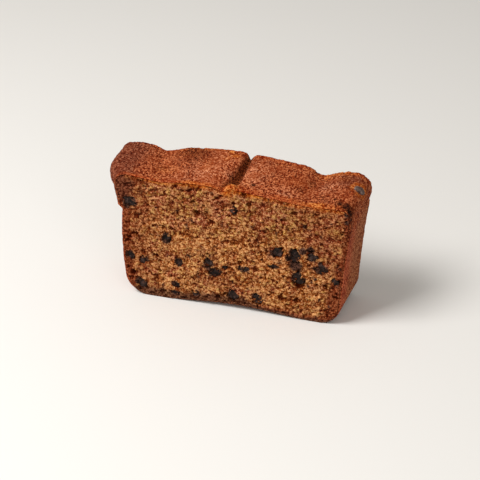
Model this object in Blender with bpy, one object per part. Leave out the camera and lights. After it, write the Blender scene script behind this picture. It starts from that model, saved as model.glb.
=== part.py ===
"""A thick slice of chocolate chip banana bread, cut from a tin loaf and standing on its base crust.

Blender 4.5, in metres, +Z up. X runs along the slice's width, Y through its thickness and Z up. The front
cut face looks towards -Y. The origin is on the flat base, in the middle of the slice.

The bread is one solid: its browned crust is part of it, and the creases and the lip that the rising
batter left are its own relief. Each chocolate chip that shows is a solid of its own, seated in a pocket.
"""

import math
import random
from typing import NamedTuple

import bmesh
import bpy
from mathutils import Matrix, Vector, noise

# The slice as a whole
THICKNESS = 0.030
FRONT_Y = -THICKNESS / 2
BACK_Y = THICKNESS / 2

# The top crust: a low crown that rises from the front cut to the back one, with an ear over each side.
# The right shoulder is nearly square at the front cut and rounder at the back one.
FRONT_HEIGHT = 0.0641
BACK_HEIGHT = 0.0665
FRONT_TILT = -0.025
CROWN_X = -0.007
CROWN_REACH = 0.028
FRONT_CROWN = 0.0020
BACK_CROWN = 0.0033
EARS_X = (-0.054, 0.050)
EAR_RISE = 0.0007
EAR_REACH = 0.006
CRAG_HEIGHT = 0.0006
CRAG_SIZE = 0.008
LEFT_SHOULDER_RADIUS = 0.0055
RIGHT_SHOULDER_RADII = (0.0035, 0.0060)

# The lump of crumb that bridges the middle crack at the front cut
BRIDGE_X = -0.0006
BRIDGE_Y = -0.0140
BRIDGE_REACH = 0.0040
BRIDGE_HEIGHT = 0.0008

# The base crust: flat where it rests, with a shallow arch at the front cut. Each end is a touch hollow
# between the cuts, so that the slice stands on four far corners.
ARCH_HEIGHT = 0.0024
ARCH_X = 0.002
ARCH_REACH = 0.038
ARCH_END_Y = -0.005
FOOT_HALF_WIDTH = 0.0405
FOOT_EDGE_SLOPE = 0.05
FOOT_EDGE_RISE = 0.0001
END_HOLLOW = 0.0003
END_HOLLOW_X = 0.026
END_HOLLOW_REACH = 0.010
BASE_CORNER_RADIUS = 0.0100

# The left side, with the lip where the batter rose over the tin's rim
LEFT_FOOT_X = -0.0530
LEFT_BULGE = 0.0025
LIP_Z = 0.0466
LIP_TOP_Z = 0.0620
LIP_STEP = 0.0022
LIP_STEP_HEIGHT = 0.0025
LIP_SPREAD = 0.0032
LIP_BACK_FLARE = 0.0066
LIP_FLARE_HEIGHT = 0.010
LIP_FLARE_SHARE = 0.45

# The right side, which leans out with the tin's wall and ends in a rounded shoulder
RIGHT_FOOT_X = 0.0525
RIGHT_LEAN = 0.0034
RIGHT_LEAN_TOP_Z = 0.0500
RIGHT_BACK_FLARE = 0.0021
SHOULDER_Z = 0.0600
SHOULDER_BULGE = 0.0011
SHOULDER_REACH = 0.0065

# The unevenness of the side crust and of the crumb on the two cut faces
SIDE_RELIEF = 0.0003
SIDE_RELIEF_SIZE = 0.009
CRUMB_RELIEF = 0.0003
CRUMB_RELIEF_SIZE = 0.004

# The grid that the solid is shaped from: layers through the thickness, and rows above the base
LAYERS = 9
ROWS_BELOW_LIP = 12
ROWS_IN_STEP = 2
ROWS_ABOVE_STEP = 5
RIM_HEIGHT = 0.0660

# Pores that the knife opened, on each cut face
PORE_SEED = 11
PORES_PER_FACE = 10
PORE_FIELD_X = (-0.047, 0.048)
PORE_FIELD_Z = (0.008, 0.057)
PORE_RADIUS = (0.0009, 0.0017)
PORE_STRETCH = (1.0, 1.7)
PORE_LEAN_DEG = 36
PORE_SPACING = 0.0015

# How a chip sits in the bread
CHIP_CLEARANCE = 0.0003
CHIP_PROUD = 0.0003
CHIP_SUNK_SHARE = 0.15
CHIP_LUMPINESS = 0.16
CHIP_LUMP_SCALE = 1.3

# The finishes
BREAD_COLOUR = (0.285, 0.095, 0.031, 1.0)
BREAD_ROUGHNESS = 0.9
CHOCOLATE_COLOUR = (0.030, 0.014, 0.010, 1.0)
CHOCOLATE_ROUGHNESS = 0.5
SMOOTH_ANGLE_DEG = 50


class Crease(NamedTuple):
    """A crease or crack over the top crust. Each pair is its value at the front cut and at the back one.

    A softness of 1 is a crack with a sharp bottom, and 2 is a rounded crease.
    """

    x: tuple
    depth: tuple
    left_reach: tuple
    right_reach: tuple
    softness: float


LEFT_CREASE = Crease((-0.036, -0.042), (0.0008, 0.0024), (0.0060, 0.0045), (0.0080, 0.0080), 2)
MIDDLE_CRACK = Crease((-0.0008, 0.0002), (0.0054, 0.0036), (0.0050, 0.0012), (0.0018, 0.0020), 1.5)
RIGHT_CREASE = Crease((0.034, 0.0362), (0.0005, 0.0036), (0.0050, 0.0053), (0.0050, 0.0065), 2)
CREASES = (LEFT_CREASE, MIDDLE_CRACK, RIGHT_CREASE)


class Chip(NamedTuple):
    """A chip on a cut face: its centre there, its width and height, and how far it is turned."""

    x: float
    z: float
    width: float
    height: float
    turn_deg: float


FRONT_CHIPS = (
    Chip(-0.0511, 0.0516, 0.0068, 0.0062, 15),
    Chip(0.0003, 0.0550, 0.0036, 0.0054, 0),
    Chip(-0.0329, 0.0342, 0.0042, 0.0056, 20),
    Chip(-0.0517, 0.0214, 0.0048, 0.0050, 0),
    Chip(-0.0447, 0.0192, 0.0047, 0.0056, 30),
    Chip(-0.0269, 0.0212, 0.0042, 0.0046, 0),
    Chip(-0.0464, 0.0066, 0.0060, 0.0050, 25),
    Chip(-0.0287, 0.0090, 0.0042, 0.0038, 0),
    Chip(-0.0284, 0.0040, 0.0062, 0.0024, 4),
    Chip(-0.0185, 0.0054, 0.0047, 0.0040, -10),
    Chip(-0.0118, 0.0240, 0.0048, 0.0038, 15),
    Chip(-0.0089, 0.0190, 0.0066, 0.0052, -25),
    Chip(-0.0045, 0.0226, 0.0034, 0.0024, 0),
    Chip(0.0054, 0.0232, 0.0080, 0.0028, 8),
    Chip(0.0004, 0.0080, 0.0058, 0.0052, 0),
    Chip(0.0123, 0.0078, 0.0058, 0.0056, 30),
    Chip(0.0215, 0.0355, 0.0058, 0.0052, 0),
    Chip(0.0202, 0.0275, 0.0046, 0.0022, -6),
    Chip(0.0303, 0.0348, 0.0056, 0.0074, -8),
    Chip(0.0389, 0.0353, 0.0058, 0.0052, 20),
    Chip(0.0325, 0.0230, 0.0066, 0.0070, 12),
    Chip(0.0436, 0.0297, 0.0056, 0.0070, 0),
    Chip(0.0499, 0.0236, 0.0038, 0.0050, -20),
)

# The back cut's chips stand on a loose grid, more of them low down, where they sank in the batter
BACK_CHIP_SEED = 5
BACK_CHIP_COLUMNS = 6
BACK_CHIP_ROWS = (0.0085, 0.0220, 0.0360)
BACK_CHIP_HALF_SPAN = 0.043
BACK_CHIP_JITTER = 0.0035
BACK_CHIP_SIZE = (0.0042, 0.0066)
BACK_CHIP_TURN_DEG = 40
BACK_CHIP_CHANCE = (0.95, 0.75, 0.55)

# The chip baked into the crust on the right shoulder
SHOULDER_CHIP_Y = 0.0040
SHOULDER_CHIP_SLOPE_DEG = 45
SHOULDER_CHIP_TURN_DEG = 23
SHOULDER_CHIP_RADII = (0.0034, 0.0023, 0.0017)
SHOULDER_CHIP_SINK = 0.0010


def blend(low, high, share):
    """The value that lies a share of the way from low to high."""
    return low + (high - low) * share


def eased(share):
    """A share from 0 to 1 that starts and ends softly."""
    share = min(1.0, max(0.0, share))
    return share * share * (3 - 2 * share)


def bump(distance, reach):
    """A smooth hump, 1 at its middle and low beyond its reach."""
    return math.exp(-((distance / reach) ** 2))


def depth_share(y):
    """0 at the front cut, 1 at the back one."""
    return (y - FRONT_Y) / THICKNESS


def crease_depth(crease, x, y):
    """How far a crease lowers the top crust at a point."""
    share = depth_share(y)
    offset = x - blend(*crease.x, share)
    reach = blend(*(crease.left_reach if offset < 0 else crease.right_reach), share)
    return blend(*crease.depth, share) * math.exp(-((abs(offset) / reach) ** crease.softness))


def top_height(x, y):
    """The top crust's height over a point of the base."""
    share = depth_share(y)
    height = blend(FRONT_HEIGHT + FRONT_TILT * x, BACK_HEIGHT, share)
    height += blend(FRONT_CROWN, BACK_CROWN, share) * bump(x - CROWN_X, CROWN_REACH)
    height += EAR_RISE * sum(bump(x - ear_x, EAR_REACH) for ear_x in EARS_X)
    bridge = bump(math.hypot(x - BRIDGE_X, y - BRIDGE_Y), BRIDGE_REACH)
    height -= crease_depth(LEFT_CREASE, x, y) + crease_depth(RIGHT_CREASE, x, y)
    height -= crease_depth(MIDDLE_CRACK, x, y) * (1 - bridge)
    height += BRIDGE_HEIGHT * bridge
    crag = noise.fractal(Vector((x, y, 0)) / CRAG_SIZE, 1.0, 2.0, 2)
    return height + CRAG_HEIGHT * crag


def base_height(x, y):
    """The base crust's height: zero where it rests, raised under the arch and beyond the foot's ends."""
    towards_front = eased((ARCH_END_Y - y) / (ARCH_END_Y - FRONT_Y))
    across = min(1.0, abs(x - ARCH_X) / ARCH_REACH)
    arch = ARCH_HEIGHT * (1 - across**2) ** 2 * towards_front
    edge = min(FOOT_EDGE_RISE, FOOT_EDGE_SLOPE * max(0.0, abs(x) - FOOT_HALF_WIDTH))
    at_end = eased((abs(x) - END_HOLLOW_X) / END_HOLLOW_REACH)
    return arch + edge + END_HOLLOW * at_end * math.sin(math.pi * depth_share(y))


def left_wall(z, y):
    """The left side's x at a height, with the lip that overhangs the tin's rim."""
    x = LEFT_FOOT_X - LEFT_BULGE * math.sin(math.pi * min(z / LIP_TOP_Z, 1.0))
    x -= LIP_STEP * eased((z - LIP_Z) / LIP_STEP_HEIGHT)
    x -= LIP_SPREAD * eased((z - LIP_Z) / (LIP_TOP_Z - LIP_Z))
    flare = LIP_BACK_FLARE * eased(depth_share(y) / LIP_FLARE_SHARE)
    x -= flare * eased((z - LIP_Z) / LIP_FLARE_HEIGHT)
    return x + SIDE_RELIEF * noise.noise(Vector((0, y, z)) / SIDE_RELIEF_SIZE)


def right_wall(z, y):
    """The right side's x at a height, with the rounded shoulder under the top crust."""
    share = depth_share(y)
    lean = min(max(z, 0.0), RIGHT_LEAN_TOP_Z) / LIP_Z
    x = RIGHT_FOOT_X + RIGHT_LEAN * lean**1.5 + RIGHT_BACK_FLARE * share
    x += SHOULDER_BULGE * bump(z - SHOULDER_Z, SHOULDER_REACH) * share
    return x + SIDE_RELIEF * noise.noise(Vector((1, y, z)) / SIDE_RELIEF_SIZE)


def right_shoulder_radius(y):
    """How round the right shoulder is, between the front cut and the back one."""
    return blend(*RIGHT_SHOULDER_RADII, depth_share(y))


def column_stations(y):
    """(columns before it, x) of the lines that the grid's columns keep to: the walls and the creases."""
    left, middle, right = (blend(*crease.x, depth_share(y)) for crease in CREASES)
    return (
        (0, LEFT_FOOT_X),
        (6, left),
        (8, middle - max(MIDDLE_CRACK.left_reach)),
        (3, middle),
        (2, middle + max(MIDDLE_CRACK.right_reach)),
        (9, right),
        (6, RIGHT_FOOT_X),
    )


def row_stations():
    """(rows before it, height) of the lines that the grid's rows keep to: the base, the lip and the rim."""
    return (
        (0, 0.0),
        (ROWS_BELOW_LIP, LIP_Z),
        (ROWS_IN_STEP, LIP_Z + LIP_STEP_HEIGHT),
        (ROWS_ABOVE_STEP, RIM_HEIGHT),
    )


COLUMNS = sum(count for count, _ in column_stations(0))
ROWS = sum(count for count, _ in row_stations())


def along(stations, line):
    """The place of a grid line that lies between two stations."""
    start = 0
    for (_, low), (count, high) in zip(stations, stations[1:]):
        if line <= start + count:
            return blend(low, high, (line - start) / count)
        start += count
    return stations[-1][1]


def round_corner(from_wall, from_floor, radius):
    """Moves a point near a square corner, given by its distances from both walls, into a round one."""
    across, up = radius - from_wall, radius - from_floor
    if across <= 0 or up <= 0:
        return from_wall, from_floor
    squeeze = max(across, up) / math.hypot(across, up)
    return radius - across * squeeze, radius - up * squeeze


def bread_point(column, row, layer):
    """The point of the bread at a line of columns, rows and layers."""
    y = blend(FRONT_Y, BACK_Y, layer / LAYERS)
    across = (along(column_stations(y), column) - LEFT_FOOT_X) / (RIGHT_FOOT_X - LEFT_FOOT_X)
    height_share = along(row_stations(), row) / RIM_HEIGHT
    x, z = blend(LEFT_FOOT_X, RIGHT_FOOT_X, across), height_share * RIM_HEIGHT
    for _ in range(3):
        x = blend(left_wall(z, y), right_wall(z, y), across)
        z = blend(base_height(x, y), top_height(x, y), height_share)
    left, right = left_wall(z, y), right_wall(z, y)
    low, high = base_height(x, y), top_height(x, y)
    radius = right_shoulder_radius(y) if right - x < x - left else LEFT_SHOULDER_RADIUS
    if z - low < high - z:
        radius = BASE_CORNER_RADIUS
    from_wall, from_floor = round_corner(min(x - left, right - x), min(z - low, high - z), radius)
    x = left + from_wall if x - left < right - x else right - from_wall
    z = low + from_floor if z - low < high - z else high - from_floor
    if layer in (0, LAYERS) and 0 < column < COLUMNS and 0 < row < ROWS:
        y += CRUMB_RELIEF * noise.noise(Vector((x, y, z)) / CRUMB_RELIEF_SIZE)
    return Vector((x, y, z))


def material(name, colour, roughness):
    """A matte food surface in one colour."""
    made = bpy.data.materials.new(name)
    made.use_nodes = True
    shader = made.node_tree.nodes["Principled BSDF"]
    shader.inputs["Base Color"].default_value = colour
    shader.inputs["Roughness"].default_value = roughness
    shader.inputs["Metallic"].default_value = 0.0
    return made


def object_from(bm, name, collection, finish=None):
    """Ends a bmesh as a named object in a collection."""
    mesh = bpy.data.meshes.new(name)
    bm.to_mesh(mesh)
    bm.free()
    made = bpy.data.objects.new(name, mesh)
    collection.objects.link(made)
    if finish:
        mesh.materials.append(finish)
        mesh.shade_smooth()
        mesh.set_sharp_from_angle(angle=math.radians(SMOOTH_ANGLE_DEG))
    return made


def bread(collection, finish):
    """The bread: a cube cut into columns, rows and layers, and each point moved to its place."""
    bm = bmesh.new()
    bmesh.ops.create_cube(bm, size=1.0, matrix=Matrix.Translation((0.5, 0.5, 0.5)))
    for axis, count in enumerate((COLUMNS, LAYERS, ROWS)):
        edges = [e for e in bm.edges if abs((e.verts[1].co - e.verts[0].co)[axis]) > 0.5]
        bmesh.ops.subdivide_edges(bm, edges=edges, cuts=count - 1, use_grid_fill=True)
    for vertex in bm.verts:
        across, through, up = vertex.co
        line = (round(across * COLUMNS), round(up * ROWS), round(through * LAYERS))
        vertex.co = bread_point(*line)
    bmesh.ops.triangulate(bm, faces=bm.faces[:], quad_method="SHORT_EDGE")
    return object_from(bm, "slice", collection, finish)


def lump(radii, seed, facets=2):
    """A lumpy ball, as chocolate keeps after baking."""
    bm = bmesh.new()
    bmesh.ops.create_icosphere(bm, subdivisions=facets, radius=1.0)
    start = Vector((seed, 2 * seed, 0))
    for vertex in bm.verts:
        swell = 1 + CHIP_LUMPINESS * noise.noise(vertex.co * CHIP_LUMP_SCALE + start)
        vertex.co = vertex.co * swell
        vertex.co.x *= radii[0]
        vertex.co.y *= radii[1]
        vertex.co.z *= radii[2]
    return bm


def swelled(bm, by):
    """Grows a lump outwards, as the pocket round a chip."""
    bm.normal_update()
    for vertex in bm.verts:
        vertex.co += vertex.normal * by
    return bm


def seat_chip(name, bm, place, parts, cutters, finish, cut_face=0):
    """Makes a chip and the pocket that it sits in. On a cut face the knife has left it flat."""
    pocket = bm.copy()
    bmesh.ops.transform(pocket, matrix=place, verts=pocket.verts)
    object_from(swelled(pocket, CHIP_CLEARANCE), "pocket_" + name, cutters)
    if cut_face:
        bmesh.ops.transform(bm, matrix=place, verts=bm.verts)
        plane_y = cut_face * (BACK_Y + CHIP_PROUD)
        cut = bmesh.ops.bisect_plane(
            bm,
            geom=bm.verts[:] + bm.edges[:] + bm.faces[:],
            plane_co=(0, plane_y, 0),
            plane_no=(0, cut_face, 0),
            clear_outer=True,
        )
        rim = [part for part in cut["geom_cut"] if isinstance(part, bmesh.types.BMEdge)]
        bmesh.ops.contextual_create(bm, geom=rim)
        bmesh.ops.recalc_face_normals(bm, faces=bm.faces[:])
        bmesh.ops.transform(bm, matrix=place.inverted(), verts=bm.verts)
    chip = object_from(bm, name, parts, finish)
    chip.matrix_world = place


def cut_face_chip(name, chip, side, seed, parts, cutters, finish):
    """A chip that the knife cut through, on the front (side -1) or back (side 1) face."""
    depth = (chip.width + chip.height) / 4
    bm = lump((chip.width / 2, depth, chip.height / 2), seed)
    centre = Vector((chip.x, side * (BACK_Y - CHIP_SUNK_SHARE * depth), chip.z))
    turn = Matrix.Rotation(math.radians(chip.turn_deg), 4, "Y")
    seat_chip(name, bm, Matrix.Translation(centre) @ turn, parts, cutters, finish, cut_face=side)


def back_chips():
    """The back cut's chips, drawn from their loose grid."""
    draw = random.Random(BACK_CHIP_SEED)
    chips = []
    pitch = 2 * BACK_CHIP_HALF_SPAN / (BACK_CHIP_COLUMNS - 1)
    for row, chance in zip(BACK_CHIP_ROWS, BACK_CHIP_CHANCE):
        for column in range(BACK_CHIP_COLUMNS):
            x = column * pitch - BACK_CHIP_HALF_SPAN + draw.uniform(-1, 1) * BACK_CHIP_JITTER
            z = row + draw.uniform(-1, 1) * BACK_CHIP_JITTER
            width, height = draw.uniform(*BACK_CHIP_SIZE), draw.uniform(*BACK_CHIP_SIZE)
            turn = draw.uniform(-1, 1) * BACK_CHIP_TURN_DEG
            if draw.random() < chance:
                chips.append(Chip(x, z, width, height, turn))
    return chips


def clear_of(x, z, radius, taken):
    """True if a pore keeps its distance from every chip and pore that is already there."""
    return all(math.hypot(x - tx, z - tz) > radius + tr + PORE_SPACING for tx, tz, tr in taken)


def open_pores(side, chips, cutters):
    """The larger pores on a cut face, spread by a seeded draw and kept clear of the chips."""
    draw = random.Random(PORE_SEED * side)
    taken = [(chip.x, chip.z, max(chip.width, chip.height) / 2) for chip in chips]
    made = 0
    while made < PORES_PER_FACE:
        x, z = draw.uniform(*PORE_FIELD_X), draw.uniform(*PORE_FIELD_Z)
        radius, stretch = draw.uniform(*PORE_RADIUS), draw.uniform(*PORE_STRETCH)
        lean = math.radians(draw.uniform(-1, 1) * PORE_LEAN_DEG)
        if not clear_of(x, z, radius * stretch, taken):
            continue
        bm = lump((radius * stretch, radius, radius), seed=made, facets=1)
        centre = Matrix.Translation((x, side * BACK_Y, z))
        bmesh.ops.transform(bm, matrix=centre @ Matrix.Rotation(lean, 4, "Y"), verts=bm.verts)
        object_from(bm, f"pore_{side}_{made}", cutters)
        taken.append((x, z, radius * stretch))
        made += 1


def shoulder_chip(parts, cutters, finish):
    """The chip that the crust holds on the right shoulder, half sunk and tilted with the surface."""
    slope = math.radians(SHOULDER_CHIP_SLOPE_DEG)
    wall = right_wall(SHOULDER_Z, SHOULDER_CHIP_Y)
    radius = right_shoulder_radius(SHOULDER_CHIP_Y)
    top = top_height(wall - radius, SHOULDER_CHIP_Y)
    reach = radius - SHOULDER_CHIP_SINK
    x = wall - radius + reach * math.cos(slope)
    z = top - radius + reach * math.sin(slope)
    tilt = Matrix.Rotation(math.pi / 2 - slope, 4, "Y")
    turn = Matrix.Rotation(math.radians(SHOULDER_CHIP_TURN_DEG), 4, "Z")
    place = Matrix.Translation((x, SHOULDER_CHIP_Y, z)) @ tilt @ turn
    seat_chip("chip_shoulder", lump(SHOULDER_CHIP_RADII, seed=3), place, parts, cutters, finish)


def main():
    for old in list(bpy.data.objects):
        bpy.data.objects.remove(old)
    parts = bpy.data.collections.new("banana_bread_slice")
    cutters = bpy.data.collections.new("cutters")
    for collection in (parts, cutters):
        bpy.context.scene.collection.children.link(collection)
    bread_finish = material("baked_bread", BREAD_COLOUR, BREAD_ROUGHNESS)
    chocolate = material("dark_chocolate", CHOCOLATE_COLOUR, CHOCOLATE_ROUGHNESS)

    loaf = bread(parts, bread_finish)
    rear_chips = back_chips()
    for label, side, chips in (("front", -1, FRONT_CHIPS), ("back", 1, rear_chips)):
        for number, chip in enumerate(chips, start=1):
            name = f"chip_{label}_{number:02d}"
            cut_face_chip(name, chip, side, number, parts, cutters, chocolate)
        open_pores(side, chips, cutters)
    shoulder_chip(parts, cutters, chocolate)

    for cutter in cutters.objects:
        cutter.hide_render = True
        cutter.display_type = "WIRE"
    pockets = loaf.modifiers.new("pockets_and_pores", "BOOLEAN")
    pockets.operation = "DIFFERENCE"
    pockets.operand_type = "COLLECTION"
    pockets.collection = cutters
    pockets.solver = "EXACT"


main()
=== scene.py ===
"""The looks of a thick slice of chocolate chip banana bread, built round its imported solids.

The frame gives the bread and its chips as solids. This script dresses them with a core of torn, porous
crumb, a browned crust round it, and baked chocolate in place of the plain chips.
All sizes are in metres, +Z up. The front cut face looks towards -Y, and the base crust rests on Z = 0.
"""

import logging
import math
from dataclasses import dataclass, field
from enum import Enum

import bmesh
import bpy
import numpy as np
from mathutils import Matrix, Vector


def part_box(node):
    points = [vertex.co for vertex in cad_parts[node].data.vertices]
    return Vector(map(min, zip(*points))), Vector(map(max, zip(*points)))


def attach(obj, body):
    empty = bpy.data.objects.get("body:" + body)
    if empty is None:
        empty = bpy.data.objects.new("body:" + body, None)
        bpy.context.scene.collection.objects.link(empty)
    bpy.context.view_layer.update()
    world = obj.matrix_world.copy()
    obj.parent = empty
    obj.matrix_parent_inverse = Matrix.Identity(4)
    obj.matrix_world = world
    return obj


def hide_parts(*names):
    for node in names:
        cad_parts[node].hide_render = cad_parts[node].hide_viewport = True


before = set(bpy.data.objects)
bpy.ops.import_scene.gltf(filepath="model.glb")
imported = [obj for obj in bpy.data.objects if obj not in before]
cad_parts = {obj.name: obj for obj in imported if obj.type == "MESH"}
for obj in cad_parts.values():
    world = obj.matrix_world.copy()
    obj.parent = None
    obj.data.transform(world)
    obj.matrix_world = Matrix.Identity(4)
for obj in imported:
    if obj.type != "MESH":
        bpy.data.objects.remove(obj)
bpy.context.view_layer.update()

BODY = "root"
MM = 0.001
# How near to a cut (as a share of the thickness) and to a chip's flat face a vertex counts as on it
ON_CUT = 1e-4
ON_FLAT = 0.02 * MM
# The core's grid lines, as shares of the thickness: close together behind the lump that bridges the crack
CORE_SHARES = (0.0, 0.035, 0.08, 0.14, 0.22, 0.36, 0.60, 0.85, 1.0)

Array = np.ndarray
Pair = tuple[float, float]
log = logging.getLogger("banana_bread")


class Cut(Enum):
    """The two faces that the knife left, as the side of the slice that each is on."""

    FRONT = -1
    BACK = 1

    @property
    def share(self) -> float:
        """Where the face lies, as a share of the thickness."""
        return (1 + self.value) / 2


def evened(values: Array, spread: float) -> Array:
    """Values moved and scaled so that their mean is 0.5 and they spread as far as given."""
    return 0.5 + spread * (values - values.mean()) / (values.std() + 1e-12)


def blend(low: Array, high: Array, share: Array) -> Array:
    """The value that lies a share of the way from low to high."""
    return low + (high - low) * share


def eased(share: Array) -> Array:
    """A share held between 0 and 1, with a soft start and end."""
    held = np.clip(share, 0.0, 1.0)
    return held * held * (3.0 - 2.0 * held)


def core_shares(even: Array) -> Array:
    """Moves evenly spaced grid lines to the core's own shares of the thickness."""
    return np.interp(even, np.linspace(0.0, 1.0, len(CORE_SHARES)), CORE_SHARES)


def bump(distance: Array, reach: float) -> Array:
    """A smooth hump, 1 at its middle and low beyond its reach."""
    return np.exp(-((distance / reach) ** 2))


@dataclass(frozen=True)
class Edge:
    """A soft edge: its place, its softness, how far it wanders and the share it leads to."""

    place: float
    fade: float
    wander: float = 0.0
    share: float = 1.0

    def within(self, value: Array, ragged: Array | float = 0.0) -> Array:
        """The share below the edge and 0 above it."""
        return self.share * eased((self.place - value + self.wander * ragged) / self.fade)

    def beyond(self, value: Array, ragged: Array | float = 0.0) -> Array:
        """0 below the edge and the share above it."""
        return self.share * eased((value - self.place + self.wander * ragged) / self.fade)


@dataclass(frozen=True)
class Patches:
    """Soft patches: how much they cover, how clearly they end and the share in them."""

    cover: float
    contrast: float
    share: float = 1.0

    def over(self, values: Array, lift: Array | float = 0.0) -> Array:
        """The share where a rough field is high and 0 where it is low. Lift widens them."""
        return self.share * eased(self.cover + lift + self.contrast * values)


@dataclass(frozen=True)
class Grain:
    """Repeatable random fields in space, which give the bake its unevenness.

    Points moved by a number such as 0.5 give another field than the points themselves.
    """

    seed: int

    def numbers(self, cells: Array, channel: int = 0) -> Array:
        """Numbers from 0 to 1 for the cells of a lattice.

        Args:
            cells: Whole-number cell coordinates, three to a row.
            channel: Which of the cell's numbers to give.

        Returns:
            One number for each row.
        """
        c = (cells.astype(np.int64) & 0xFFFFFFFF).astype(np.uint32)
        start = np.uint32((self.seed * 97 + channel * 1013) & 0xFFFF)
        mixed = c[:, 0] * np.uint32(73856093)
        mixed = mixed ^ c[:, 1] * np.uint32(19349663) ^ c[:, 2] * np.uint32(83492791)
        mixed = (mixed + start * np.uint32(7919)) * np.uint32(2654435761)
        mixed = (mixed ^ (mixed >> np.uint32(15))) * np.uint32(2246822519)
        mixed = mixed ^ (mixed >> np.uint32(13))
        return mixed / np.float64(0xFFFFFFFF)

    def smooth(self, points: Array, size: float, channel: int = 0) -> Array:
        """A smooth field.

        Args:
            points: Where to look, three coordinates to a row.
            size: About how far across its lumps are.
            channel: Which of the cells' numbers it is made from.

        Returns:
            Its values, from -1 to 1.
        """
        scaled = points / size
        cell = np.floor(scaled)
        share = eased(scaled - cell)
        total = np.zeros(len(points))
        for corner in np.ndindex(2, 2, 2):
            weight = np.prod(np.where(corner, share, 1.0 - share), axis=1)
            total += weight * self.numbers(cell + corner, channel)
        return 2.0 * total - 1.0

    def rough(self, points: Array, size: float, octaves: int = 3) -> Array:
        """A field with finer lumps on coarser ones.

        Args:
            points: Where to look, three coordinates to a row.
            size: How far across its coarsest lumps are.
            octaves: How many sizes of lumps it has.

        Returns:
            Its values, from about -1 to 1.
        """
        total = np.zeros(len(points))
        for octave in range(octaves):
            total += self.smooth(points, size / 2**octave, channel=octave) / 2**octave
        return total / (2.0 - 0.5 ** (octaves - 1))

    def stir(self, points: Array, size: float) -> Array:
        """Rough moves along the three axes, each from about -1 to 1."""
        return np.stack([self.rough(points + shift, size) for shift in (0.1, 0.2, 0.3)], axis=1)

    def granules(self, points: Array, size: float) -> tuple[Array, Array]:
        """The nearest of the granules scattered in space.

        Args:
            points: Where to look, three coordinates to a row.
            size: The granules' spacing.

        Returns:
            The distance to the nearest granule, in spacings, and its own number from 0 to 1.
        """
        scaled = points / size
        cell = np.floor(scaled)
        nearest = np.full(len(points), 9.0)
        tint = np.zeros(len(points))
        for step in np.ndindex(3, 3, 3):
            near_cell = cell + (np.array(step) - 1)
            inside = np.stack([self.numbers(near_cell, axis + 5) for axis in range(3)], axis=1)
            gap = np.sqrt(((scaled - (near_cell + inside)) ** 2).sum(axis=1))
            closer = gap < nearest
            tint = np.where(closer, self.numbers(near_cell, 9), tint)
            nearest = np.where(closer, gap, nearest)
        return nearest, tint


@dataclass(frozen=True)
class Crease:
    """A crease over the top crust. Each pair is its value at the front cut and at the back one."""

    x: Pair
    depth: Pair
    left_reach: Pair
    right_reach: Pair
    softness: float

    def lowering(self, x: Array, share: Array) -> Array:
        """How far the crease lowers the top crust.

        Args:
            x: The points' x.
            share: How far they lie from the front cut to the back one.

        Returns:
            The depth at each point.
        """
        offset = x - blend(*self.x, share)
        reach = np.where(offset < 0, blend(*self.left_reach, share), blend(*self.right_reach, share))
        return blend(*self.depth, share) * np.exp(-((np.abs(offset) / reach) ** self.softness))


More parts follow.
